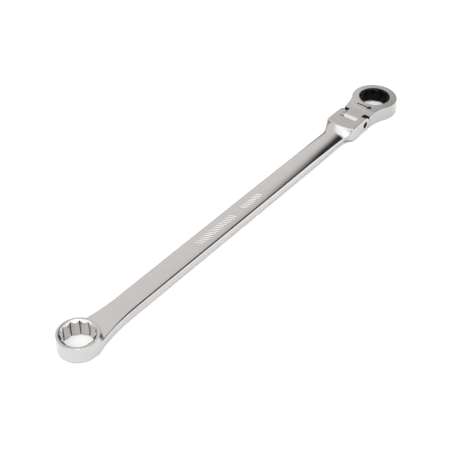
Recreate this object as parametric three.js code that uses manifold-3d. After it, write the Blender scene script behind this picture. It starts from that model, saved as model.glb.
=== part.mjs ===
// Long flex-head ratcheting box wrench. Millimetres, +Z up, +X towards the ratchet head.
// The origin is the middle of the footprint, on the plane that the wrench lies on.
// The handle is one forging: a 12-point box ring, a flat shank and a clevis.
// The ratchet head swings on a screw in the clevis and holds a 12-point gear with 72 teeth,
// a sprung pawl that slides in a pocket, and the washer and ring that keep the gear in.

import * as THREE from "three";
import { mergeVertices } from "three/addons/utils/BufferGeometryUtils.js";
import Module from "manifold-3d";

const wasm = await Module();
wasm.setup();

// ---------------------------------------------------------------- driving dimensions

const acrossFlats = 22.2;              // both openings take a 22 mm hexagon
const cornerRadius = acrossFlats / 2 / Math.cos(Math.PI / 6);
const coneSlope = 0.84;                // depth over radius of the cone at each mouth
const past = 2;                        // how far a cutter runs past the face that it cuts
const roundSteps = 72;                 // facets on large circles
const smallSteps = 36;                 // facets on pins and small bores
const outlineSteps = 24;               // steps on each curve of an outline, and twice that on each arc

const box = {
  radius: 15.5, height: 14, topMouth: 13.55, bottomMouth: 13, topEdge: 0.4, bottomEdge: 0.7,
  turn: THREE.MathUtils.degToRad(9.5),
};
const head = { radius: 19.8, height: 13.3, shoulder: 13, edge: 0.5 };
const centreDistance = 376.4;
const boxX = box.radius - (box.radius + centreDistance + head.radius) / 2;
const headX = boxX + centreDistance;

const hinge = { x: boxX + 341.6, z: head.height / 2, screw: 3, bore: 3.06 };
const clevis = { half: 13.3, earRadius: 6.3, slotHalf: 7.5, slotDepth: 8.1, length: 16 };
const tongue = { half: 7.25, thick: 11.3, endRadius: 5.95 };
const shoulderX = hinge.x + 6.7;

// The shank rises a little from the box ring to the clevis, at a constant thickness.
const shank = {
  bottomAtBox: 0.15, bottomAtClevis: 1.1, topAtBox: 6.65, topAtClevis: 7.65, half: 10,
  rootHalf: 12, neck: boxX + 3.2, neckHalf: 15.15, flareEnd: boxX + 42, blendEnd: hinge.x - 21.6, blendRadius: 11,
};

const washer = { inner: 3.25, outer: 4.8, thick: 0.62, seat: 5, seatDepth: 0.65, gap: 0.1 };
const bush = { outer: 4, bore: 4.06, length: 14.3 };
const socket = { acrossFlats: 3, depth: 2.6, recess: 0.9 };

const gear = {
  teeth: 72, tip: 15.95, root: 15.2, boss: 13.55, bandBottom: 2.75, bandTop: 11.75,
  bottom: 0.5, top: 12.85, mouth: 13.15, turn: THREE.MathUtils.degToRad(5),
};
const bore = { lip: 13.76, gear: 16.1, lipBottom: 11.9, groove: 16.85, grooveLow: 0.95, grooveHigh: 2.05 };
const keeper = { inner: 14, outer: 16.7, low: 1.02, high: 1.98, opening: THREE.MathUtils.degToRad(24) };
const thrust = { inner: 13.75, outer: 15.95, low: 2.15, high: 2.6 };

const pawl = { front: 13, back: 19.9, half: 5.6, low: 3.3, high: 11.4, toothGap: 0.12 };
const pocket = { front: 12, back: 21.2, half: 5.75, low: 3.1, high: 11.6 };
const spring = {
  hole: 1.5, coil: 1.05, wire: 0.22, turns: 5, stepsPerTurn: 12, sides: 6,
  inHousing: 23.8, inPawl: 17.9, gap: 0.1, spread: 2.1,
};

// ---------------------------------------------------------------- materials

const steel = new THREE.MeshStandardMaterial({ color: 0xc2bfbb, roughness: 0.35, metalness: 0.95 });
const blackOxide = new THREE.MeshStandardMaterial({ color: 0x17161a, roughness: 0.45, metalness: 0.7 });
const springSteel = new THREE.MeshStandardMaterial({ color: 0x8d8a86, roughness: 0.4, metalness: 0.9 });
const bronze = new THREE.MeshStandardMaterial({ color: 0xa67c45, roughness: 0.45, metalness: 0.85 });

// ---------------------------------------------------------------- solids and cuts

function solid(geometry) {
  const bare = geometry.index ? geometry.toNonIndexed() : geometry;
  bare.deleteAttribute("normal");
  bare.deleteAttribute("uv");
  const merged = mergeVertices(bare, 1e-4);
  const mesh = new wasm.Mesh({
    numProp: 3,
    vertProperties: new Float32Array(merged.attributes.position.array),
    triVerts: new Uint32Array(merged.index.array),
  });
  return new wasm.Manifold(mesh);
}

function geometryOf(manifold) {
  const mesh = manifold.getMesh();
  const geometry = new THREE.BufferGeometry();
  geometry.setAttribute("position", new THREE.BufferAttribute(mesh.vertProperties, 3));
  geometry.setIndex(new THREE.BufferAttribute(mesh.triVerts, 1));
  return geometry;
}

// A plan outline (x, y), raised from one height to another.
function raised(shape, low, high) {
  const geometry = new THREE.ExtrudeGeometry(shape, {
    depth: high - low, bevelEnabled: false, curveSegments: outlineSteps,
  });
  geometry.translate(0, 0, low);
  return solid(geometry);
}

// A plan outline whose upper and lower edges are broken by a chamfer.
function raisedWithEdges(shape, low, high, edge) {
  const geometry = new THREE.ExtrudeGeometry(shape, {
    depth: high - low - 2 * edge,
    bevelThickness: edge,
    bevelSize: edge,
    bevelOffset: -edge,
    bevelSegments: 1,
    curveSegments: outlineSteps,
  });
  geometry.translate(0, 0, low + edge);
  return solid(geometry);
}

// A side outline (x, z), spread from one y to another.
function spread(shape, near, far) {
  const geometry = new THREE.ExtrudeGeometry(shape, {
    depth: far - near, bevelEnabled: false, curveSegments: outlineSteps,
  });
  geometry.rotateX(Math.PI / 2);
  geometry.translate(0, far, 0);
  return solid(geometry);
}

// A closed profile of [radius, height] points turned about a vertical axis.
function turned(profile, x, steps = roundSteps) {
  const points = profile.map(([r, z]) => new THREE.Vector2(r, z));
  const geometry = new THREE.LatheGeometry([...points, points[0]], steps);
  geometry.rotateX(Math.PI / 2);
  geometry.translate(x, 0, 0);
  return solid(geometry);
}

function upright(x, radius, low, high, steps = roundSteps) {
  return turned([[0, low], [radius, low], [radius, high], [0, high]], x, steps);
}

// A cylinder along the hinge line, from one y to another.
function crosswise(radius, near, far) {
  const geometry = new THREE.CylinderGeometry(radius, radius, far - near, smallSteps);
  geometry.translate(hinge.x, (near + far) / 2, hinge.z);
  return solid(geometry);
}

// A cylinder along X, from one x to another, at a given height.
function lengthwise(radius, from, to, z) {
  const geometry = new THREE.CylinderGeometry(radius, radius, to - from, smallSteps);
  geometry.rotateZ(-Math.PI / 2);
  geometry.translate((from + to) / 2, 0, z);
  return solid(geometry);
}

function block(x0, x1, half, z0, z1) {
  const geometry = new THREE.BoxGeometry(x1 - x0, 2 * half, z1 - z0);
  geometry.translate((x0 + x1) / 2, 0, (z0 + z1) / 2);
  return solid(geometry);
}

// ---------------------------------------------------------------- 12-point openings

// Two hexagons a twelfth of a turn apart, turned away from the long axis of the wrench.
function twelvePointOutline(x, turn) {
  const points = [];
  const valleyRadius = acrossFlats / 2 / Math.cos(Math.PI / 12);
  for (let i = 0; i < 24; i++) {
    const radius = i % 2 === 0 ? cornerRadius : valleyRadius;
    const angle = turn + (i * Math.PI) / 12;
    points.push(new THREE.Vector2(x + radius * Math.cos(angle), radius * Math.sin(angle)));
  }
  return new THREE.Shape(points);
}

// The opening runs right through and has a cone at each mouth that leads the nut in.
function twelvePointOpening(x, turn, low, high, lowMouth, highMouth) {
  const highDepth = coneSlope * highMouth;
  const lowDepth = coneSlope * lowMouth;
  const through = raised(twelvePointOutline(x, turn), low - past, high + past);
  const upper = turned(
    [[0, high - highDepth], [highMouth, high], [highMouth, high + past], [0, high + past]], x,
  );
  const lower = turned([[0, low - past], [lowMouth, low - past], [lowMouth, low], [0, low + lowDepth]], x);
  return through.add(upper).add(lower);
}

// ---------------------------------------------------------------- handle forging

function handlePlan() {
  const plan = new THREE.Shape();
  const widening = hinge.x - 33;
  const full = hinge.x - 14.6;
  const end = hinge.x + clevis.length;
  plan.moveTo(boxX, -shank.rootHalf);
  plan.lineTo(shank.neck, -shank.neckHalf);
  plan.bezierCurveTo(boxX + 12, -13.4, boxX + 20, -10.6, shank.flareEnd, -shank.half);
  plan.lineTo(widening, -shank.half);
  plan.bezierCurveTo(widening + 9, -shank.half, full - 6.5, -clevis.half, full, -clevis.half);
  plan.lineTo(end, -clevis.half);
  plan.lineTo(end, clevis.half);
  plan.lineTo(full, clevis.half);
  plan.bezierCurveTo(full - 6.5, clevis.half, widening + 9, shank.half, widening, shank.half);
  plan.lineTo(shank.flareEnd, shank.half);
  plan.bezierCurveTo(boxX + 20, 10.6, boxX + 12, 13.4, shank.neck, shank.neckHalf);
  plan.lineTo(boxX, shank.rootHalf);
  plan.closePath();
  return plan;
}

// Seen from the side, a concave arc lifts the thin shank to the deeper clevis,
// and each ear ends in a half circle about the hinge line.
function handleSide() {
  const side = new THREE.Shape();
  const clevisTop = hinge.z + clevis.earRadius;
  const clevisBottom = hinge.z - clevis.earRadius;
  const blendCentreZ = shank.topAtClevis + shank.blendRadius;
  const blendAngle = Math.acos((blendCentreZ - clevisTop) / shank.blendRadius);
  const blendStart = shank.blendEnd - shank.blendRadius * Math.sin(blendAngle);
  side.moveTo(boxX, shank.bottomAtBox);
  side.lineTo(blendStart, shank.bottomAtClevis);
  side.lineTo(shank.blendEnd, clevisBottom);
  side.lineTo(hinge.x, clevisBottom);
  side.absarc(hinge.x, hinge.z, clevis.earRadius, -Math.PI / 2, Math.PI / 2, false);
  side.absarc(
    blendStart, blendCentreZ, shank.blendRadius, blendAngle - Math.PI / 2, -Math.PI / 2, true,
  );
  side.lineTo(boxX, shank.topAtBox);
  side.closePath();
  return side;
}

function handleForging() {
  const ring = turned([
    [0, 0],
    [box.radius - box.bottomEdge, 0],
    [box.radius, box.bottomEdge],
    [box.radius, box.height - box.topEdge],
    [box.radius - box.topEdge, box.height],
    [0, box.height],
  ], boxX);
  const wide = clevis.half + past;
  const bar = raised(handlePlan(), -past, box.height + past).intersect(spread(handleSide(), -wide, wide));
  const slotBack = hinge.x - clevis.slotDepth;
  const slot = block(slotBack, hinge.x + clevis.length + past, clevis.slotHalf, -past, box.height + past);
  const seat = clevis.slotHalf + washer.seatDepth;
  return ring
    .add(bar)
    .subtract(twelvePointOpening(boxX, box.turn, 0, box.height, box.bottomMouth, box.topMouth))
    .subtract(slot)
    .subtract(crosswise(hinge.bore, -wide, wide))
    .subtract(crosswise(washer.seat, -seat, seat));
}

// ---------------------------------------------------------------- hinge

function hingeScrew() {
  const end = clevis.half - socket.recess;
  const hexagon = new THREE.CylinderGeometry(1, 1, socket.depth + past, 6);
  const size = socket.acrossFlats / 2 / Math.cos(Math.PI / 6);
  hexagon.scale(size, 1, size);
  hexagon.translate(hinge.x, -end + (socket.depth - past) / 2, hinge.z);
  return crosswise(hinge.screw, -end, end).subtract(solid(hexagon));
}

function frictionWasher(side) {
  const inner = clevis.slotHalf + washer.seatDepth - washer.gap / 2;
  const near = side < 0 ? -inner : inner - washer.thick;
  const far = near + washer.thick;
  return crosswise(washer.outer, near, far).subtract(crosswise(washer.inner, near - past, far + past));
}

function hingeBush() {
  const half = bush.length / 2;
  return crosswise(bush.outer, -half, half).subtract(crosswise(hinge.bore, -half - past, half + past));
}

// ---------------------------------------------------------------- ratchet head

// The shoulders widen slightly and run into the ring in a hollow curve.
function headPlan() {
  const plan = new THREE.Shape();
  const joinAngle = THREE.MathUtils.degToRad(120);
  const joinX = headX + head.radius * Math.cos(joinAngle);
  const joinY = head.radius * Math.sin(joinAngle);
  const slope = Math.tan(joinAngle - Math.PI / 2);
  const reach = 5;
  plan.moveTo(shoulderX, -head.shoulder);
  plan.bezierCurveTo(shoulderX + 7, -13.6, joinX - reach, -joinY + reach * slope, joinX, -joinY);
  plan.absarc(headX, 0, head.radius, -joinAngle, joinAngle, false);
  plan.bezierCurveTo(joinX - reach, joinY - reach * slope, shoulderX + 7, 13.6, shoulderX, head.shoulder);
  plan.closePath();
  return plan;
}

function tongueSide() {
  const side = new THREE.Shape();
  const half = tongue.thick / 2;
  const flatStart = Math.PI - Math.asin(half / tongue.endRadius);
  const root = shoulderX + 2;
  side.moveTo(root, hinge.z - half);
  side.lineTo(root, hinge.z + half);
  side.absarc(hinge.x, hinge.z, tongue.endRadius, flatStart, 2 * Math.PI - flatStart, false);
  side.closePath();
  return side;
}

function springHeights() {
  const middle = (pawl.low + pawl.high) / 2;
  return [middle + spring.spread, middle - spring.spread];
}

function headHousing() {
  let housing = raisedWithEdges(headPlan(), 0, head.height, head.edge)
    .add(spread(tongueSide(), -tongue.half, tongue.half))
    .subtract(crosswise(bush.bore, -tongue.half - past, tongue.half + past))
    .subtract(upright(headX, bore.lip, -past, head.height + past))
    .subtract(upright(headX, bore.gear, -past, bore.lipBottom))
    .subtract(upright(headX, bore.groove, bore.grooveLow, bore.grooveHigh))
    .subtract(block(headX - pocket.back, headX - pocket.front, pocket.half, pocket.low, pocket.high));
  for (const z of springHeights()) {
    housing = housing.subtract(
      lengthwise(spring.hole, headX - spring.inHousing, headX - pocket.back + past, z),
    );
  }
  return housing;
}

function toothedOutline(grow) {
  const points = [];
  for (let i = 0; i < 2 * gear.teeth; i++) {
    const radius = (i % 2 === 0 ? gear.tip : gear.root) + grow;
    const angle = (i * Math.PI) / gear.teeth;
    points.push(new THREE.Vector2(headX + radius * Math.cos(angle), radius * Math.sin(angle)));
  }
  return new THREE.Shape(points);
}

function ratchetGear() {
  return raised(toothedOutline(0), gear.bandBottom, gear.bandTop)
    .add(upright(headX, gear.boss, gear.bottom, gear.top))
    .subtract(twelvePointOpening(headX, gear.turn, gear.bottom, gear.top, gear.mouth, gear.mouth));
}

function thrustWasher() {
  return upright(headX, thrust.outer, thrust.low, thrust.high)
    .subtract(upright(headX, thrust.inner, thrust.low - past, thrust.high + past));
}

// An open ring that springs into the groove at the bottom of the bore.
function retainingRing() {
  const start = Math.PI + keeper.opening / 2;
  const end = start + 2 * Math.PI - keeper.opening;
  const shape = new THREE.Shape();
  shape.absarc(headX, 0, keeper.outer, start, end, false);
  shape.absarc(headX, 0, keeper.inner, end, start, true);
  shape.closePath();
  const geometry = new THREE.ExtrudeGeometry(shape, {
    depth: keeper.high - keeper.low, bevelEnabled: false, curveSegments: roundSteps,
  });
  geometry.translate(0, 0, keeper.low);
  return solid(geometry);
}

function pawlBlock() {
  let body = block(headX - pawl.back, headX - pawl.front, pawl.half, pawl.low, pawl.high)
    .subtract(raised(toothedOutline(pawl.toothGap), pawl.low - past, pawl.high + past));
  for (const z of springHeights()) {
    body = body.subtract(lengthwise(spring.hole, headX - pawl.back - past, headX - spring.inPawl, z));
  }
  return body;
}

class Helix extends THREE.Curve {
  constructor(start, length, z) {
    super();
    this.start = start;
    this.length = length;
    this.z = z;
  }

  getPoint(t, target = new THREE.Vector3()) {
    const angle = 2 * Math.PI * spring.turns * t;
    return target.set(
      this.start + this.length * t,
      spring.coil * Math.cos(angle),
      this.z + spring.coil * Math.sin(angle),
    );
  }
}

function pawlSpring(z) {
  const section = new THREE.Shape();
  section.absarc(0, 0, spring.wire, 0, 2 * Math.PI, false);
  const start = headX - spring.inHousing + spring.gap + spring.wire;
  const end = headX - spring.inPawl - spring.gap - spring.wire;
  return solid(new THREE.ExtrudeGeometry(section, {
    steps: spring.turns * spring.stepsPerTurn,
    curveSegments: spring.sides,
    extrudePath: new Helix(start, end - start, z),
  }));
}

// ---------------------------------------------------------------- assembly

const wrench = new THREE.Group();

function addPiece(name, manifold, material) {
  const mesh = new THREE.Mesh(geometryOf(manifold), material);
  mesh.name = name;
  wrench.add(mesh);
}

addPiece("handle_forging", handleForging(), steel);
addPiece("hinge_screw", hingeScrew(), blackOxide);
addPiece("friction_washer_near", frictionWasher(-1), springSteel);
addPiece("friction_washer_far", frictionWasher(1), springSteel);
addPiece("head_housing", headHousing(), steel);
addPiece("hinge_bush", hingeBush(), bronze);
addPiece("ratchet_gear", ratchetGear(), blackOxide);
addPiece("thrust_washer", thrustWasher(), springSteel);
addPiece("retaining_ring", retainingRing(), springSteel);
addPiece("pawl", pawlBlock(), blackOxide);
springHeights().forEach((z, i) => {
  addPiece(i === 0 ? "pawl_spring_upper" : "pawl_spring_lower", pawlSpring(z), springSteel);
});

export default wrench;
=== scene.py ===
"""Looks of the flex-head ratcheting box wrench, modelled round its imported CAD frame.

Each piece is described by a distance field in millimetres: negative inside the metal, zero on its
surface. contour() turns a field into a quad mesh that keeps both crisp edges and rounded ones.
"""

import math

import bpy
import numpy as np
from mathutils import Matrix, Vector


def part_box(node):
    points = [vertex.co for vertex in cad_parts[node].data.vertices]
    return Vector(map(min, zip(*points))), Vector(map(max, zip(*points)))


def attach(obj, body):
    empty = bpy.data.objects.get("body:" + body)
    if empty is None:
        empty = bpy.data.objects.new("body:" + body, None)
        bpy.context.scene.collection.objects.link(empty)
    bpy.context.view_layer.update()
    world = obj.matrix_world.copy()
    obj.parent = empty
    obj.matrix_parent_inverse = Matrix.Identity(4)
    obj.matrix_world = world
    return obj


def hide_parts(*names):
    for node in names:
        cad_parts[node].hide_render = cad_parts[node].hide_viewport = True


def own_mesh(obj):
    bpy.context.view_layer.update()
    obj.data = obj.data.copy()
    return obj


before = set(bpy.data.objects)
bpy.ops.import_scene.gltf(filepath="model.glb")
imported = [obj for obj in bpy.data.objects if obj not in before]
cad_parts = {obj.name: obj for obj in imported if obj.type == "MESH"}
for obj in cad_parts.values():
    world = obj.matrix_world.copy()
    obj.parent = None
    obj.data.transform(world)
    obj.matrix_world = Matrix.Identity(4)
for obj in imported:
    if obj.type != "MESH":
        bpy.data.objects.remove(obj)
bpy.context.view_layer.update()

MM = 1000.0
COARSE = 1.0

# ---------------------------------------------------------------- driving dimensions, in millimetres

RING_RADIUS, RING_HEIGHT = 15.5, 14.0
HEAD_RADIUS, HEAD_HEIGHT = 19.8, 13.3
RING_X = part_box("handle_forging")[0].x * MM + RING_RADIUS
HEAD_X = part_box("head_housing")[1].x * MM - HEAD_RADIUS
HINGE = (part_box("hinge_screw")[0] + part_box("hinge_screw")[1]) / 2 * MM
SHOULDER_X = HINGE.x + 6.7

ACROSS_FLATS = 22.2
CORNER_RADIUS = ACROSS_FLATS / 2 / math.cos(math.pi / 6)
CONE_SLOPE = 0.84
RING_MOUTHS, GEAR_MOUTH = (13.0, 13.55), 13.15
RING_TURN, GEAR_TURN = math.radians(9.5), math.radians(5.0)

SHANK_HALF = 10.2
CLEVIS_HALF, EAR_RADIUS, SLOT_HALF, SLOT_DEPTH = 13.3, 6.3, 7.5, 8.1
BLEND_START, BLEND_RADIUS, BLEND_LIMIT = 310.4, 11.0, math.radians(60)
CLEVIS_TOP, SLOT_BACK = HINGE.z + EAR_RADIUS, HINGE.x - SLOT_DEPTH
SCREW_RADIUS, SCREW_HALF, SCREW_BORE, SEAT_RADIUS, SEAT_DEPTH = 3.0, 12.4, 3.06, 5.0, 0.65

TONGUE_HALF, TONGUE_THICK, TONGUE_END, TONGUE_BORE = 7.25, 11.3, 5.95, 4.06
BORE_LIP, BORE_GEAR, BORE_GROOVE = 13.76, 16.1, 16.85
GEAR_TEETH, GEAR_TIP, GEAR_ROOT, GEAR_BOSS = 72, 15.95, 15.2, 13.55
GEAR_BOTTOM, GEAR_TOP = 0.5, 12.85
PAWL_MIDDLE, TOOTH_GAP = 7.35, 0.12
SPRING_SPREAD, SPRING_HOLE, SPRING_START, SPRING_END = 2.1, 1.5, HEAD_X - 23.7, HEAD_X - 18.0


# ---------------------------------------------------------------- distance fields

def meet(a, b, r=0.0):
    """What two solids share, with the edge between them rounded to radius r."""
    return np.minimum(-r, np.maximum(a, b)) + np.hypot(np.maximum(a + r, 0), np.maximum(b + r, 0))


def join(a, b, r=0.0):
    """Two solids together, with a fillet of radius r between them."""
    return -meet(-a, -b, r)


def cut(a, b, r=0.0):
    """The first solid without the second, with the rim of the cut rounded to radius r."""
    return meet(a, -b, r)


def between(value, low, high):
    return np.maximum(low - value, value - high)


def bezier(p0, p1, p2, p3, steps=64):
    t = np.linspace(0, 1, steps + 1)[:, None]
    p0, p1, p2, p3 = map(np.array, (p0, p1, p2, p3))
    return (1 - t) ** 3 * p0 + 3 * t * (1 - t) ** 2 * p1 + 3 * t * t * (1 - t) * p2 + t**3 * p3


def beside(x, y, outline):
    """Distance in plan from a pair of mirrored flanks, given as points (x, half width)."""
    half = np.interp(x, outline[:, 0], outline[:, 1])
    slope = np.interp(x, outline[:, 0], np.gradient(outline[:, 1], outline[:, 0]))
    return (np.abs(y) - half) / np.sqrt(1 + slope**2)


def hexagon(x, y, turn):
    faces = [turn + math.radians(a) for a in (0, 60, 120)]
    reach = [np.abs(x * math.cos(a) + y * math.sin(a)) for a in faces]
    return np.maximum(np.maximum(reach[0], reach[1]), reach[2]) - ACROSS_FLATS / 2


def twelve_point(x, y, z, turn, low, high, low_mouth, high_mouth):
    """The broached opening: two hexagons a twelfth of a turn apart, and a cone at each mouth."""
    star = np.minimum(hexagon(x, y, turn), hexagon(x, y, turn + math.radians(30)))
    radius, steep = np.hypot(x, y), math.hypot(1, CONE_SLOPE)
    upper = (high - CONE_SLOPE * (high_mouth - radius) - z) / steep
    lower = (z - low + CONE_SLOPE * (radius - low_mouth)) / steep
    return np.minimum(star, np.minimum(upper, lower))


def toothed(x, y, tip, root):
    """Distance from the tips and valleys of the gear's teeth."""
    phase = np.arctan2(y, x) * GEAR_TEETH / (2 * math.pi)
    height = np.abs(2 * (phase - np.floor(phase)) - 1)
    pitch = math.pi * (tip + root) / GEAR_TEETH
    return (np.hypot(x, y) - root - (tip - root) * height) / math.hypot(1, 2 * (tip - root) / pitch)


# ---------------------------------------------------------------- meshing

def planes(start, *runs):
    """Grid planes from start on, through runs of (end, spacing)."""
    found = [np.array([start])]
    for end, spacing in runs:
        count = max(1, round((end - start) / (spacing * COARSE)))
        found.append(np.linspace(start, end, count + 1)[1:])
        start = end
    return np.concatenate(found)


def crossings(distance, grid, value, axis):
    """Where the surface crosses the grid edges along one axis: the edges, points and normals, and
    whether the solid is on the low side."""
    below = tuple(slice(None, -1) if a == axis else slice(None) for a in range(3))
    above = tuple(slice(1, None) if a == axis else slice(None) for a in range(3))
    solid_below = value[below] < 0
    edge = np.argwhere(solid_below != (value[above] < 0))
    step = np.eye(3, dtype=int)[axis]
    low = np.stack([grid[a][edge[:, a]] for a in range(3)], 1)
    high = np.stack([grid[a][(edge + step)[:, a]] for a in range(3)], 1)
    v_low, v_high = value[tuple(edge.T)], value[tuple((edge + step).T)]
    t_low, t_high = np.zeros(len(edge)), np.ones(len(edge))
    point = low
    for _ in range(5):
        t = t_low + (t_high - t_low) * np.clip(v_low / (v_low - v_high), 0.02, 0.98)
        point = low + t[:, None] * (high - low)
        v = distance(*point.T)
        same = (v < 0) == (v_low < 0)
        t_low, v_low = np.where(same, t, t_low), np.where(same, v, v_low)
        t_high, v_high = np.where(same, t_high, t), np.where(same, v_high, v)
    h = 1e-3
    normal = [distance(*(point + h * d).T) - distance(*(point - h * d).T) for d in np.eye(3)]
    normal = np.stack(normal, 1)
    normal /= np.maximum(np.linalg.norm(normal, axis=1), 1e-9)[:, None]
    return edge, point, normal, solid_below[tuple(edge.T)]


def contour(distance, xs, ys, zs):
    """Points and quads of the surface of a distance field. Each grid cell that the surface passes
    through has one point, where the tangent planes at its edges meet, so crisp edges stay crisp."""
    grid = (xs, ys, zs)
    shape = tuple(len(g) for g in grid)
    value = np.empty(shape)
    for i in range(0, shape[0], 32):
        part = xs[i:i + 32, None, None]
        value[i:i + 32] = distance(part, ys[None, :, None], zs[None, None, :])
    cells, points, normals, loops = [], [], [], []
    for axis in range(3):
        edge, point, normal, solid_below = crossings(distance, grid, value, axis)
        b, c = np.eye(3, dtype=int)[(axis + 1) % 3], np.eye(3, dtype=int)[(axis + 2) % 3]
        around = [np.ravel_multi_index((edge - s).T, shape) for s in (b + c, c, 0 * b, b)]
        loop = np.stack(around, 1)
        loop[~solid_below] = loop[~solid_below][:, ::-1]
        loops.append(loop)
        for cell in around:
            cells.append(cell)
            points.append(point)
            normals.append(normal)
    cells, index = np.unique(np.concatenate(cells), return_inverse=True)
    points, normals = np.concatenate(points), np.concatenate(normals)

    def total(weight):
        return np.bincount(index, weight, len(cells))

    count = total(np.ones(len(points)))
    mean = np.stack([total(points[:, a]) for a in range(3)], 1) / count[:, None]
    offset = np.einsum("ij,ij->i", normals, points - mean[index])
    matrix = np.stack([[total(normals[:, a] * normals[:, b]) for b in range(3)] for a in range(3)])
    target = np.stack([total(normals[:, a] * offset) for a in range(3)], 1)
    size, axes = np.linalg.eigh(np.moveaxis(matrix, 2, 0))
    inverse = np.where(size > 0.12, 1 / np.maximum(size, 1e-9), 0)
    along = np.einsum("nji,nj->ni", axes, target) * inverse
    corner_shade = np.stack(np.unravel_index(cells, shape), 1)
    low = np.stack([grid[a][corner_shade[:, a]] for a in range(3)], 1)
    high = np.stack([grid[a][corner_shade[:, a] + 1] for a in range(3)], 1)
    place = np.clip(mean + np.einsum("nij,nj->ni", axes, along), low, high)
    return place, np.searchsorted(cells, np.concatenate(loops)).tolist()


def add_object(name, data):
    made = bpy.data.objects.new(name, data)
    bpy.context.scene.collection.objects.link(made)
    return made


def add_mesh(name, points, faces, crease=30):
    """A mesh object from points in millimetres, smooth except across edges over the crease angle."""
    mesh = bpy.data.meshes.new(name)
    mesh.from_pydata((points / MM).tolist(), [], faces)
    mesh.validate()
    mesh.shade_smooth()
    mesh.set_sharp_from_angle(angle=math.radians(crease))
    return add_object(name, mesh)


def paint(piece, material, where):
    """Gives a material of its own, a finish or painted shade, to the faces that where(x, y, z, nx, ny,
    nz) picks, in millimetres.
    """
    mesh = piece.data
    middles, normals = np.empty(3 * len(mesh.polygons)), np.empty(3 * len(mesh.polygons))
    mesh.polygons.foreach_get("center", middles)
    mesh.polygons.foreach_get("normal", normals)
    chosen = where(*(middles.reshape(-1, 3).T * MM), *normals.reshape(-1, 3).T)
    slots = np.empty(len(mesh.polygons), np.int32)
    mesh.polygons.foreach_get("material_index", slots)
    slots[chosen] = len(mesh.materials)
    mesh.materials.append(material)
    mesh.polygons.foreach_set("material_index", slots)


def dress(piece, body, node, material):
    """The piece stands for its CAD node: it rides on the node's body and takes its finish."""
    piece.data.materials.clear()
    piece.data.materials.append(material)
    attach(piece, body)
    if node:
        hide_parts(node)
    return piece


# ---------------------------------------------------------------- materials

class Nodes:
    """Short calls that add nodes to a tree. A value may be a number or another node's output."""

    def __init__(self, tree):
        self.tree = tree
        tree.nodes.clear()

    def add(self, kind, values=None, **settings):
        node = self.tree.nodes.new(kind)
        for key, value in settings.items():
            setattr(node, key, value)
        for key, value in (values or {}).items():
            if isinstance(value, bpy.types.NodeSocket):
                self.tree.links.new(value, node.inputs[key])
            else:
                node.inputs[key].default_value = value
        return node

    def noise(self, vector, scale, detail=3.0, roughness=0.55):
        values = {"Vector": vector, "Scale": scale, "Detail": detail, "Roughness": roughness}
        return self.add("ShaderNodeTexNoise", values).outputs["Fac"]

    def remap(self, value, low, high, to_low, to_high, smooth=False):
        values = {
            "Value": value, "From Min": low, "From Max": high, "To Min": to_low, "To Max": to_high,
        }
        kind = "SMOOTHSTEP" if smooth else "LINEAR"
        return self.add("ShaderNodeMapRange", values, interpolation_type=kind).outputs["Result"]

    def math(self, operation, *values):
        return self.add("ShaderNodeMath", dict(enumerate(values)), operation=operation).outputs[0]

    def mix(self, factor, a, b):
        node = self.add("ShaderNodeMix", {0: factor, 6: a, 7: b}, data_type="RGBA")
        return node.outputs[2]


def metal(
    name, pale, dark, rough, grain=1400.0, brushed=0.0, bump=0.05,
    wear_and_highlight=None, metallic=1.0, specular=0.5,
):
    """Worked metal: cloudy between two colours and two roughnesses, with a fine grain in its gloss and
    surface, and painted shade darkening its corners. Its edges are a little glossier, and, given a
    wear_and_highlight colour, lightened to it: partly rubbed wear and partly a painted highlight."""
    material = bpy.data.materials.new(name)
    material.use_nodes = True
    material.diffuse_color = (*pale, 1)
    n = Nodes(material.node_tree)
    place = n.add("ShaderNodeTexCoord").outputs["Object"]
    strokes = n.add("ShaderNodeMapping", {"Vector": place, "Scale": (0.03, 1, 1)}).outputs["Vector"]
    cloud = n.noise(place, 55.0, 4.0)
    fine = n.noise(place, grain, 2.0)
    lines = n.noise(strokes, grain, 2.0)
    pointed = n.add("ShaderNodeNewGeometry").outputs["Pointiness"]
    edge = n.remap(pointed, 0.53, 0.62, 0.0, 1.0, smooth=True)
    # Painted shade: concave corners, picked by low pointiness, are darkened towards near black.
    corner_shade = n.remap(pointed, 0.47, 0.40, 0.0, 0.75, smooth=True)
    colour = n.mix(n.remap(cloud, 0.3, 0.7, 0.0, 1.0), (*dark, 1), (*pale, 1))
    # Convex edges lightened to the wear_and_highlight colour: partly rubbed wear, partly a painted
    # highlight.
    if wear_and_highlight:
        colour = n.mix(n.math("MULTIPLY", edge, 0.6), colour, (*wear_and_highlight, 1))
    colour = n.mix(corner_shade, colour, (0.03, 0.03, 0.03, 1))
    gloss = n.remap(cloud, 0.3, 0.7, rough[0], rough[1])
    gloss = n.math("ADD", gloss, n.remap(fine, 0.3, 0.7, -0.015, 0.015))
    gloss = n.math("ADD", gloss, n.remap(lines, 0.3, 0.7, -brushed, brushed))
    gloss = n.math("SUBTRACT", gloss, n.math("MULTIPLY", edge, 0.04))
    height = n.math("ADD", fine, n.math("MULTIPLY", lines, 4 * brushed))
    normal = n.add("ShaderNodeBump", {"Strength": bump, "Distance": 0.0001, "Height": height})
    shader = n.add("ShaderNodeBsdfPrincipled", {
        "Base Color": colour, "Roughness": gloss, "Normal": normal.outputs["Normal"],
        "Metallic": metallic, "Specular IOR Level": specular,
    })
    n.add("ShaderNodeOutputMaterial", {"Surface": shader.outputs["BSDF"]})
    return material


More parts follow.
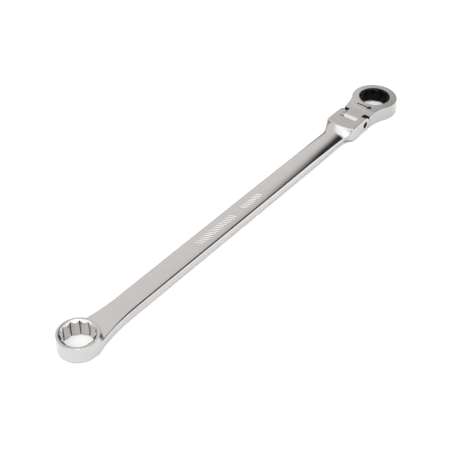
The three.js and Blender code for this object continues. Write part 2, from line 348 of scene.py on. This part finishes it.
chrome = metal(
    "chromed_steel", (0.555, 0.550, 0.545), (0.525, 0.520, 0.515), (0.13, 0.19), brushed=0.02,
)
satin = metal(
    "satin_steel", (0.51, 0.505, 0.50), (0.48, 0.475, 0.47), (0.16, 0.22), brushed=0.02,
)
ground = metal(
    "ground_steel", (0.53, 0.523, 0.517), (0.48, 0.474, 0.468), (0.19, 0.27), brushed=0.03,
)
broached = metal(
    "broached_steel", (0.52, 0.512, 0.503), (0.45, 0.443, 0.435), (0.10, 0.18), grain=900.0, bump=0.1,
)
# Near-black steel used as painted shade on faces in gaps and corners; the arrow's cut takes it too.
painted_shade = metal(
    "painted_shade_steel", (0.06, 0.056, 0.053), (0.035, 0.033, 0.031), (0.35, 0.5), grain=900.0, bump=0.2,
)
# Black oxide whose edges are lightened: partly rubbed through, partly a painted highlight.
oxide = metal(
    "black_oxide", (0.005, 0.0046, 0.005), (0.002, 0.002, 0.002), (0.14, 0.24), grain=900.0, bump=0.12,
    wear_and_highlight=(0.22, 0.21, 0.205), metallic=0.0, specular=0.07,
)
spring = metal(
    "spring_steel", (0.47, 0.45, 0.43), (0.38, 0.365, 0.35), (0.26, 0.36), brushed=0.03,
)
bronze = metal(
    "sintered_bronze", (0.60, 0.38, 0.17), (0.47, 0.28, 0.12), (0.32, 0.45), grain=2200.0, bump=0.2,
)


# ---------------------------------------------------------------- handle forging

def handle_outline():
    """Half width along the shank: a neck that grows out of the ring, and a flare to the clevis."""
    root = [(-5, 12)]
    neck = bezier((3.2, 15.15), (12, 13.4), (20, 10.6), (42, SHANK_HALF))
    knee = CLEVIS_HALF + 0.7
    flare = bezier((308.6, SHANK_HALF), (317.2, SHANK_HALF), (319.0, knee), (325.5, knee))
    clevis = [(343, CLEVIS_HALF + 0.1), (346, CLEVIS_HALF), (400, CLEVIS_HALF)]
    return np.vstack([root, neck, flare, clevis])


HANDLE_OUTLINE = handle_outline()


def shank_top(u):
    """Height of the shank's top face, u from the ring's middle."""
    return np.interp(u, [0, BLEND_START], [6.65, 7.65])


def shank_crown(u, y):
    """Height and slope of the crown of the shank's faces, which grows towards the flare."""
    places = [15, 60, 200, 265, 303, 322]
    broad = np.interp(u, places, [0, 0.002, 0.003, 0.007, 0.011, 0.018])
    edge = np.interp(u, places, [0, 0.1e-4, 0.2e-4, 0.5e-4, 1.1e-4, 0.6e-4])
    near = np.minimum(np.abs(y), 11)
    height = broad * (40 - y * y) + edge * (1600 - near**4)
    return height, 2 * broad * np.abs(y) + 4 * edge * near**3


def shank_faces(u, y, z):
    """Distances from the upper and lower faces, from the ring up the arc to the clevis's flats."""
    arch, slant = shank_crown(u, y)
    run = u - BLEND_START
    arc = np.clip(run, 0, BLEND_RADIUS * math.sin(BLEND_LIMIT))
    steep = arc / np.sqrt(BLEND_RADIUS**2 - arc**2)
    rise = BLEND_RADIUS - np.sqrt(BLEND_RADIUS**2 - arc**2)
    rise = rise + np.maximum(run - arc, 0) * math.tan(BLEND_LIMIT) * (run > 0)
    top = shank_top(u) + arch + rise
    upper = meet((z - top) / np.sqrt(1 + steep**2 + slant**2), z - CLEVIS_TOP, 0.5)
    bottom = np.interp(u, [0, 308, 316, 319, 323], [0.15, 1.1, 1.1, 0.75, 0.35])
    return upper, bottom - arch * np.interp(u, [314, 323], [1, 0]) - z


def handle(x, y, z):
    u = x - RING_X
    ring = meet(meet(np.hypot(u, y) - RING_RADIUS, z - RING_HEIGHT, 0.35), -z, 1.1)

    upper, lower = shank_faces(u, y, z)
    flank = beside(u, y, HANDLE_OUTLINE)
    upper_edge = np.interp(
        u, [0, 20, 45, 265, 295, 320, 326, 336], [0.9, 1.0, 2.4, 2.4, 1.5, 0.9, 1.1, 0.45]
    )
    lower_edge = np.interp(
        u, [0, 20, 40, 280, 300, 316, 323, 336], [0.9, 0.9, 1.4, 1.4, 3.0, 3.0, 0.5, 0.45]
    )
    bar = meet(meet(flank, upper, upper_edge), lower, lower_edge)
    axle = np.hypot(x - HINGE.x, z - HINGE.z)
    ear = meet(flank, axle - EAR_RADIUS, 0.45)
    bar = meet(np.where(x > HINGE.x, ear, bar), -u)
    body = meet(join(ring, bar, 2.0), -z, 0.3)

    slot = meet(SLOT_BACK - x, np.abs(y) - SLOT_HALF, 0.6)
    body = cut(body, slot, 0.35)
    body = cut(body, axle - SCREW_BORE, 0.3)
    body = cut(body, np.maximum(axle - SEAT_RADIUS, np.abs(y) - SLOT_HALF - SEAT_DEPTH))
    return cut(body, twelve_point(u, y, z, RING_TURN, 0, RING_HEIGHT, *RING_MOUTHS), 0.2)


# Each of these picks the faces of the handle for one finish or for painted shade, by their middles and
# normals.

def ground_flats(x, y, z, nx, ny, nz):
    clevis = (z > CLEVIS_TOP - 0.1) & (x > RING_X + 300)
    return clevis | ((z > RING_HEIGHT - 0.1) & (nz > 0.97))


# Painted shade on the ear tips, in the gap between them and the head's shoulders.
def ear_tip_shade(x, y, z, nx, ny, nz):
    start = HINGE.x + np.where(y < 0, 0.3, 1.5)
    return (x > start) & (nx > 0.04) & (np.abs(y) < 12.7)


# Painted shade: a thin dark line round the rim of the ring's upper mouth.
def mouth_shade_line(x, y, z, nx, ny, nz):
    rim = np.abs(np.hypot(x - RING_X, y) - RING_MOUTHS[1] - 0.05) < 0.2
    return rim & (z > RING_HEIGHT - 0.2) & (nz < 0.97) & (nx > -0.1)


# Painted shade on the slot's walls, in the gap beside the tongue.
def slot_wall_shade(x, y, z, nx, ny, nz):
    wall = (x > SLOT_BACK - 0.1) & (np.abs(np.abs(y) - SLOT_HALF + 0.4) < 0.6) & (np.abs(nz) < 0.8)
    return wall & ((x < SLOT_BACK + 2.2) | (z < HINGE.z + 4))


def broached_walls(x, y, z, nx, ny, nz):
    return (np.hypot(x - RING_X, y) < CORNER_RADIUS + 0.08) & (np.abs(nz) < 0.3)


# Painted shade: thin dark lines down the corners of the twelve-point opening.
def broached_corner_shade(x, y, z, nx, ny, nz):
    corner_shade = np.abs(np.hypot(x - RING_X, y) - CORNER_RADIUS + 0.04) < 0.14
    return corner_shade & (np.abs(nz) < 0.3) & (z < 13.2)


def make_handle():
    ring_end, flare = RING_X + 32, RING_X + 303
    xs = planes(RING_X - 16, (RING_X + 18, 0.32), (ring_end, 0.7), (flare, 3.0), (HINGE.x + 6.8, 0.32))
    ys = planes(-15.9, (15.9, 0.32))
    zs = planes(-0.33, (1.4, 0.19), (12.4, 0.34), (14.4, 0.19))
    piece = add_mesh("handle", *contour(handle, xs, ys, zs))
    dress(piece, "handle", "handle_forging", chrome)
    # Ground and broached are finishes of their own; the near-black material paints shade into gaps and
    # corners.
    for finish, where in (
        (ground, ground_flats), (painted_shade, ear_tip_shade), (painted_shade, mouth_shade_line), (painted_shade, slot_wall_shade),
        (broached, broached_walls), (painted_shade, broached_corner_shade),
    ):
        paint(piece, finish, where)
    return piece


# ---------------------------------------------------------------- ratchet head

def head_outline():
    """Half width from the shoulders to where they run into the ring."""
    angle = math.radians(120)
    end = (HEAD_X + HEAD_RADIUS * math.cos(angle), HEAD_RADIUS * math.sin(angle))
    reach = 5
    before = (end[0] - reach, end[1] - reach * math.tan(angle - math.pi / 2))
    return bezier((SHOULDER_X, 13), (SHOULDER_X + 7, 13.6), before, end)


HEAD_OUTLINE = head_outline()


def spring_holes(x, y, z, start, end):
    """The two blind holes for the springs, one above the other."""
    rows = [PAWL_MIDDLE + side * SPRING_SPREAD for side in (-1, 1)]
    holes = np.minimum(*(np.hypot(y, z - row) for row in rows)) - SPRING_HOLE
    return np.maximum(holes, between(x - HEAD_X, start, end))


def housing(x, y, z):
    u = x - HEAD_X
    radius = np.hypot(u, y)
    plan = np.where(x < HEAD_OUTLINE[-1, 0], beside(x, y, HEAD_OUTLINE), radius - HEAD_RADIUS)
    plan = meet(plan, SHOULDER_X - x, 0.6)
    climb = np.clip((x - SHOULDER_X + 0.5) / 9, 0, 1)
    dome = (np.minimum(radius, 24) ** 2 - 190) / 560
    top = HEAD_HEIGHT - (1 - climb**2 * (3 - 2 * climb)) - np.maximum(dome, 0)
    body = meet(plan, np.maximum(z - top, -z), 0.6)

    end = np.where(x < HINGE.x, np.hypot(x - HINGE.x, z - HINGE.z) - TONGUE_END, -1)
    slab = np.maximum(end, np.abs(z - HINGE.z) - TONGUE_THICK / 2)
    tongue = meet(meet(slab, np.abs(y) - TONGUE_HALF, 0.3), x - SHOULDER_X - 2)
    body = join(body, tongue, 0.6)

    # The bore is stepped: a lip at the top, the gear chamber, and a groove for the retaining ring.
    body = cut(body, radius - BORE_LIP, 0.2)
    chamber = np.maximum(radius - BORE_GEAR, z - 11.9)
    groove = np.maximum(radius - BORE_GROOVE, between(z, 0.95, 2.05))
    body = cut(body, np.minimum(chamber, groove))
    pocket = np.maximum(between(u, -21.2, -12), np.maximum(np.abs(y) - 5.75, between(z, 3.1, 11.6)))
    body = cut(body, pocket)
    body = cut(body, spring_holes(x, y, z, -23.8, -19))
    body = cut(body, np.hypot(x - HINGE.x, z - HINGE.z) - TONGUE_BORE, 0.25)
    return cut(body, arrow(x, y, z))


def arrow(x, y, z):
    """A plain arrow cut into the top face that shows which way the head drives."""
    middle = HEAD_X - 18.2
    across = np.abs(x - middle)
    shaft = np.maximum(across - 0.62, between(y, -5.0, 6.2))
    point = np.maximum((across - 0.72 * (y + 8.9)) / 1.23, y + 5.0)
    return np.maximum(np.minimum(shaft, point), HEAD_HEIGHT - 0.5 - z)


def shoulder_shade(x, y, z, nx, ny, nz):
    """The faces between tongue and shoulders, that look at the ears, where painted shade goes."""
    return (x > HINGE.x) & (x < SHOULDER_X + 0.4) & (nx < -0.3) & (z > 5) & (np.abs(y) < 12.9)


def make_housing():
    xs = planes(HINGE.x - 6.4, (SHOULDER_X + 6, 0.3), (HEAD_X + 20.2, 0.34))
    ys = planes(-20.1, (20.1, 0.33))
    zs = planes(-0.31, (1.2, 0.18), (12.2, 0.42), (13.7, 0.18))
    piece = add_mesh("head", *contour(housing, xs, ys, zs))
    dress(piece, "head", "head_housing", satin)
    paint(piece, ground, lambda x, y, z, nx, ny, nz: nz > 0.9)
    # Painted shade on the shoulders facing the ears, and the same dark colour in the arrow's cut.
    paint(piece, painted_shade, shoulder_shade)
    paint(piece, painted_shade, lambda x, y, z, nx, ny, nz: arrow(x, y, z) < 0.05)
    return piece


def gear(x, y, z):
    u = x - HEAD_X
    band = np.maximum(toothed(u, y, GEAR_TIP, GEAR_ROOT), between(z, 2.75, 11.75))
    boss = meet(np.hypot(u, y) - GEAR_BOSS, between(z, GEAR_BOTTOM, GEAR_TOP), 0.2)
    opening = twelve_point(u, y, z, GEAR_TURN, GEAR_BOTTOM, GEAR_TOP, GEAR_MOUTH, GEAR_MOUTH)
    return np.maximum(np.minimum(band, boss), -opening)


def make_gear():
    reach, step = 16.3, 0.26
    xs = planes(HEAD_X - reach, (HEAD_X + reach, step))
    ys = planes(-reach, (reach, step))
    zs = planes(0.2, (3.1, step), (10.2, 0.7), (13.15, step))
    piece = add_mesh("ratchet_gear_visual", *contour(gear, xs, ys, zs), crease=24)
    return dress(piece, "gear", "ratchet_gear", oxide)


def thrust_washer(x, y, z):
    radius = np.hypot(x - HEAD_X, y)
    return meet(between(radius, 13.75, 15.95), between(z, 2.15, 2.6), 0.1)


def retaining_ring(x, y, z):
    """An open ring whose ends are rounded and pierced for pliers."""
    u = x - HEAD_X
    inner, outer, half_gap = 14.0, 16.7, math.radians(12)
    radius, middle = np.hypot(u, y), (inner + outer) / 2
    end_x, end_y = -middle * math.cos(half_gap), middle * math.sin(half_gap)
    away = np.abs(np.arctan2(y, -u)) - half_gap
    body = meet(between(radius, inner, outer), -away * radius, 0.5)
    eye = np.hypot(u - end_x - 0.25, np.abs(y) - end_y - 1.4) - 0.55
    return cut(meet(body, between(z, 1.02, 1.98), 0.12), eye)


def pawl(x, y, z):
    """A block with the gear's teeth cut into its front, at rest in mesh with them."""
    u = x - HEAD_X
    block = meet(between(u, -19.9, -13), meet(np.abs(y) - 5.6, between(z, 3.3, 11.4), 0.35), 0.35)
    block = cut(block, toothed(u, y, GEAR_TIP + TOOTH_GAP, GEAR_ROOT + TOOTH_GAP))
    return cut(block, spring_holes(x, y, z, -25, -17.9))


# ---------------------------------------------------------------- hinge

def screw(x, y, z):
    """A headless screw with a hexagon socket at its near end and a slot at its far end."""
    u, w = x - HINGE.x, z - HINGE.z
    body = meet(np.hypot(u, w) - SCREW_RADIUS, np.abs(y) - SCREW_HALF, 0.4)
    faces = [math.radians(a) for a in (0, 60, 120)]
    socket = np.max([np.abs(u * math.cos(a) + w * math.sin(a)) + 0 * y for a in faces], 0) - 1.5
    body = cut(body, np.maximum(socket, y + 9.8), 0.15)
    return cut(body, np.maximum(np.abs(w) - 0.4, 11.4 - y), 0.1)


def washer(side):
    """A friction washer, side -1 in the near ear and 1 in the far one."""
    def field(x, y, z):
        radius = np.hypot(x - HINGE.x, z - HINGE.z)
        return meet(between(radius, 3.25, 4.8), between(side * y, 7.48, 8.1), 0.15)
    return field


def bush(x, y, z):
    """A plain sleeve that fills the tongue's bore."""
    return meet(between(np.hypot(x - HINGE.x, z - HINGE.z), SCREW_BORE, 4.0), np.abs(y) - 7.15, 0.2)


def make_small_pieces():
    """The pieces inside the head and the hinge, each meshed on a grid that fits its box."""
    plans = (
        ("thrust_washer_visual", thrust_washer, "head", "thrust_washer", spring, (0.4, 0.4, 0.09)),
        ("retaining_ring_visual", retaining_ring, "head", "retaining_ring", spring, (0.25, 0.25, 0.12)),
        ("pawl_visual", pawl, "pawl", "pawl", oxide, (0.16, 0.16, 0.2)),
        ("hinge_screw_visual", screw, "handle", "hinge_screw", oxide, (0.15, 0.3, 0.15)),
        ("washer_near", washer(-1), "handle", "friction_washer_near", spring, (0.16, 0.1, 0.16)),
        ("washer_far", washer(1), "handle", "friction_washer_far", spring, (0.16, 0.1, 0.16)),
        ("bush", bush, "head", "hinge_bush", bronze, (0.16, 0.35, 0.16)),
    )
    for name, field, body, node, material, spacing in plans:
        low, high = (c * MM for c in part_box(node))
        margin = 0.23
        axes = [planes(low[a] - margin, (high[a] + margin, spacing[a])) for a in range(3)]
        dress(add_mesh(name, *contour(field, *axes)), body, node, material)


def coil(start, end, z, radius=1.05, wire=0.22, turns=6, around=12, per_turn=28):
    """A compression spring along X whose first and last turns lie flat against its seats."""
    count = turns * per_turn
    turn = np.linspace(0, turns, count + 1)
    closed = 2.06 * wire
    travel = end - start - 2 * wire
    pitch = (travel - 2 * closed) / (turns - 2)
    advance = np.where((turn < 1) | (turn > turns - 1), closed, pitch)
    soft = np.convolve(np.pad(advance, 6, mode="edge"), np.ones(13) / 13, mode="valid")
    along = np.concatenate([[0], np.cumsum((soft[1:] + soft[:-1]) / 2)]) / per_turn
    along = start + wire + along * travel / along[-1]
    angle = 2 * math.pi * turn
    centre = np.stack([along, radius * np.cos(angle), z + radius * np.sin(angle)], 1)
    tangent = np.gradient(centre, axis=0)
    tangent /= np.linalg.norm(tangent, axis=1)[:, None]
    outward = np.stack([0 * angle, np.cos(angle), np.sin(angle)], 1)
    side = np.cross(tangent, outward)
    spin = np.linspace(0, 2 * math.pi, around, endpoint=False)
    ring = np.cos(spin)[None, :, None] * outward[:, None] + np.sin(spin)[None, :, None] * side[:, None]
    points = (centre[:, None] + wire * ring).reshape(-1, 3)
    quads = []
    for i in range(count):
        for j in range(around):
            k = (j + 1) % around
            quads.append((i * around + k, (i + 1) * around + k, (i + 1) * around + j, i * around + j))
    caps = [tuple(range(around - 1, -1, -1)), tuple(range(count * around, (count + 1) * around))]
    return points, quads + caps


def make_springs():
    """Two springs that stand on the housing."""
    for name, side in (("upper", 1), ("lower", -1)):
        shape = coil(SPRING_START, SPRING_END, PAWL_MIDDLE + side * SPRING_SPREAD)
        piece = add_mesh(f"spring_{name}", *shape, crease=40)
        dress(piece, "head", f"pawl_spring_{name}", spring)
        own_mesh(piece)


# ---------------------------------------------------------------- raised marks on the shank

def ribs(x, y, z):
    """Plain slanted ribs where a forged wrench carries its marks: a row of tall ones, then a row of
    lower ones. Each is narrower at its top than at its foot."""
    u = x - RING_X
    across = y + 0.5
    over = z - shank_top(u) - shank_crown(u, y)[0]
    body = np.full(np.broadcast(x, y, z).shape, 9.0)
    for first, count, half in ((130.8, 17, 3.3), (185.2, 9, 2.8)):
        for place in first + 2.55 * np.arange(count):
            slant = (u - place + 0.45 * across) / 1.1
            body = np.minimum(body, meet(np.abs(slant) - 0.85, np.abs(across) - half, 0.5))
    return meet((body + 0.6 * over) / 1.17, between(over, -0.3, 0.65), 0.3)


def make_ribs():
    xs = planes(RING_X + 127, (RING_X + 209, 0.18))
    ys, zs = planes(-4.9, (3.9, 0.22)), planes(6.3, (8.5, 0.1))
    piece = add_mesh("shank_ribs", *contour(ribs, xs, ys, zs))
    return dress(piece, "handle", None, chrome)


# ---------------------------------------------------------------- studio

def make_floor():
    """A wide floor just under the wrench, which bounces white light without a shine."""
    half, level = 6000.0, -0.05
    corners = [(-half, -half, level), (half, -half, level), (half, half, level), (-half, half, level)]
    floor = add_mesh("floor", np.array(corners), [(0, 1, 2, 3)])
    material = bpy.data.materials.new("pale_floor")
    material.use_nodes = True
    n = Nodes(material.node_tree)
    shader = n.add("ShaderNodeBsdfPrincipled", {
        "Base Color": (0.935, 0.935, 0.935, 1), "Roughness": 1.0, "Specular IOR Level": 0.0,
    })
    n.add("ShaderNodeOutputMaterial", {"Surface": shader.outputs["BSDF"]})
    floor.data.materials.append(material)


def make_world():
    """A white studio with a grey band above the horizon, bright panels overhead and to the left and
    right, and two dark gaps beyond the head."""
    world = bpy.data.worlds.new("studio")
    bpy.context.scene.world = world
    world.use_nodes = True
    n = Nodes(world.node_tree)
    direction = n.add("ShaderNodeTexCoord").outputs["Generated"]

    def lobe(centre, inner, outer):
        toward = Vector(centre).normalized()
        dot = n.add("ShaderNodeVectorMath", {0: direction, 1: toward}, operation="DOT_PRODUCT")
        near, far = math.cos(math.radians(inner)), math.cos(math.radians(outer))
        return n.remap(dot.outputs["Value"], far, near, 0.0, 1.0, smooth=True)

    light = (1.08, 1.035, 1.01, 1)
    height = n.add("ShaderNodeSeparateXYZ", {0: direction}).outputs["Z"]
    foot = n.remap(height, 0.02, 0.1, 0.0, 1.0, smooth=True)
    head = n.remap(height, 0.2, 0.34, 1.0, 0.0, smooth=True)
    band = n.math("MULTIPLY", n.math("MULTIPLY", foot, head), 0.8)
    light = n.mix(band, light, (0.25, 0.25, 0.25, 1))
    for centre, inner, outer, level in (
        ((-0.30, -0.30, 0.90), 38, 54, 1.66),
        ((-0.62, 0.22, 0.72), 14, 24, 1.78),
        ((0.72, -0.62, 0.42), 14, 26, 1.6),
        ((0.95, 0.10, 0.30), 8, 32, 0.55),
        ((0.62, -0.06, 0.79), 8, 31, 0.03),
        ((0.99, 0.03, 0.10), 7, 15, 0.03),
    ):
        light = n.mix(lobe(centre, inner, outer), light, (level, level, level, 1))
    shader = n.add("ShaderNodeBackground", {"Color": light, "Strength": 1.0})
    n.add("ShaderNodeOutputWorld", {"Surface": shader.outputs["Background"]})


def aim(made, place, target=(0.0, 0.0, 0.0)):
    """Puts a lamp or a camera in its place, looking at the target."""
    made.location = place
    made.rotation_mode = "QUATERNION"
    made.rotation_quaternion = (Vector(target) - Vector(place)).to_track_quat("-Z", "Y")


def make_lamp(name, place, size, power):
    data = bpy.data.lights.new(name, "AREA")
    data.shape, data.size, data.energy = "DISK", size, power
    aim(add_object(name, data), place)


def make_camera():
    data = bpy.data.cameras.new("camera")
    data.lens, data.sensor_width = 87.4, 36.0
    data.clip_start, data.clip_end = 0.01, 50.0
    camera = add_object("camera", data)
    aim(camera, (-0.5395, -0.4058, 0.5503), (-0.0244, 0.0031, 0.0))
    bpy.context.scene.camera = camera


make_camera()
make_world()
make_lamp("soft_key", (-0.55, -0.45, 1.7), 0.9, 8.0)
make_floor()
make_handle()
make_housing()
make_gear()
make_small_pieces()
make_springs()
make_ribs()

bpy.context.scene.view_settings.view_transform = "Standard"
